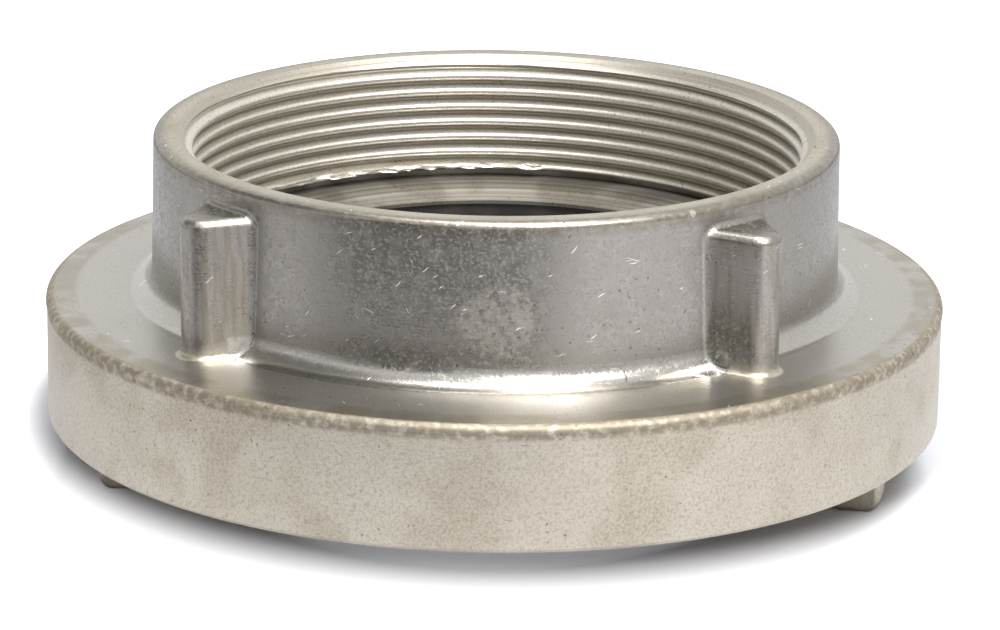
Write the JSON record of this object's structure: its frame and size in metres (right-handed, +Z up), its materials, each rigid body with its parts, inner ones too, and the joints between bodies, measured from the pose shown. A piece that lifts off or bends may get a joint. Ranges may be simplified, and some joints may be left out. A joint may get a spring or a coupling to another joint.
{
  "type": "quarter turn fire hose coupling",
  "caption": "Quarter turn fire hose coupling: flanged aluminium half with claws, kidney channels, a threaded collar, wrench ribs and a rubber seal ring.",
  "frame": {"origin": "on the coupling's axis, in the plane of the claw tips, which is the surface the coupling stands on", "axes": "+Z up the axis towards the threaded collar, X through the two claws, the wrench ribs on the diagonals"},
  "size_m": [0.1262, 0.1262, 0.0513],
  "materials": {
    "forged_aluminium": "forged and turned, tumbled dull grey, worn and stained",
    "black_rubber": "moulded nitrile rubber, matt black"
  },
  "bodies": {
    "root": {"coupling_body": "forged_aluminium", "seal_ring": "black_rubber"}
  },
  "joints": []
}
